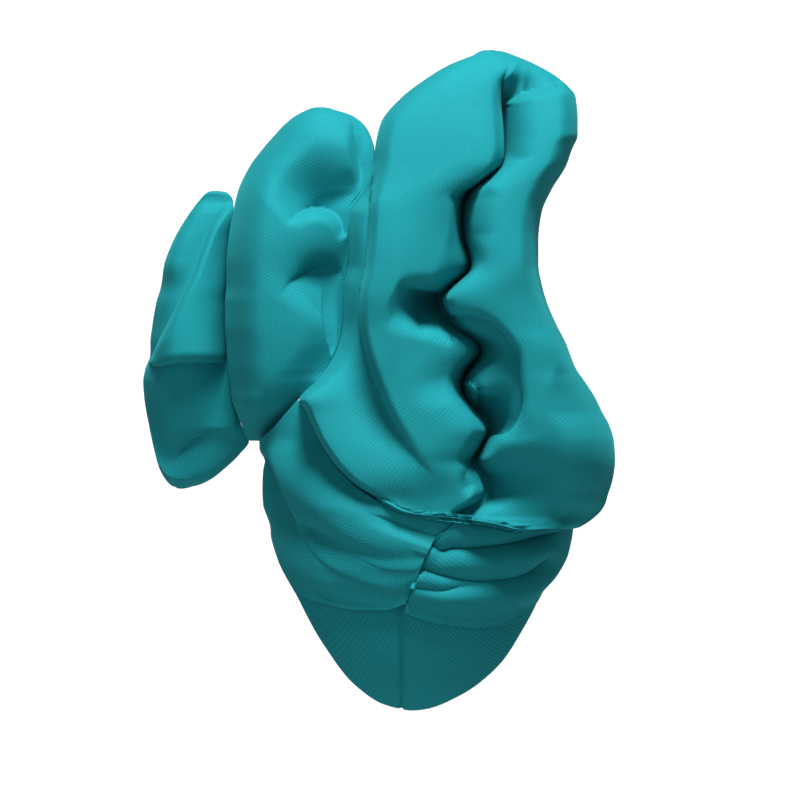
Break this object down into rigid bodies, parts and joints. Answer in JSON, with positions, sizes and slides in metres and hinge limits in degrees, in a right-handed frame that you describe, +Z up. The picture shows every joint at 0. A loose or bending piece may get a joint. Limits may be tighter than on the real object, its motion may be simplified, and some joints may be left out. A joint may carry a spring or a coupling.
{
  "type": "turban cap",
  "caption": "Fitted fabric hood with gathered drapes round the back and tall hollow ruffles standing up to one side.",
  "frame": {"origin": "crown of the hood's inside, where the head stops", "axes": "+Z up, +Y towards the nape, +X towards the wearer's left"},
  "size_m": [0.2816, 0.2169, 0.3928],
  "materials": {
    "cap_body": "matt teal knit",
    "left_back_drape": "matt teal knit",
    "right_back_drape": "matt teal knit",
    "tall_ruffle": "matt teal knit",
    "middle_ruffle": "matt teal knit",
    "side_ruffle": "matt teal knit"
  },
  "bodies": {
    "root": {"cap_body": "cap_body", "left_back_drape": "left_back_drape", "right_back_drape": "right_back_drape", "tall_ruffle": "tall_ruffle", "middle_ruffle": "middle_ruffle", "side_ruffle": "side_ruffle"}
  },
  "joints": []
}
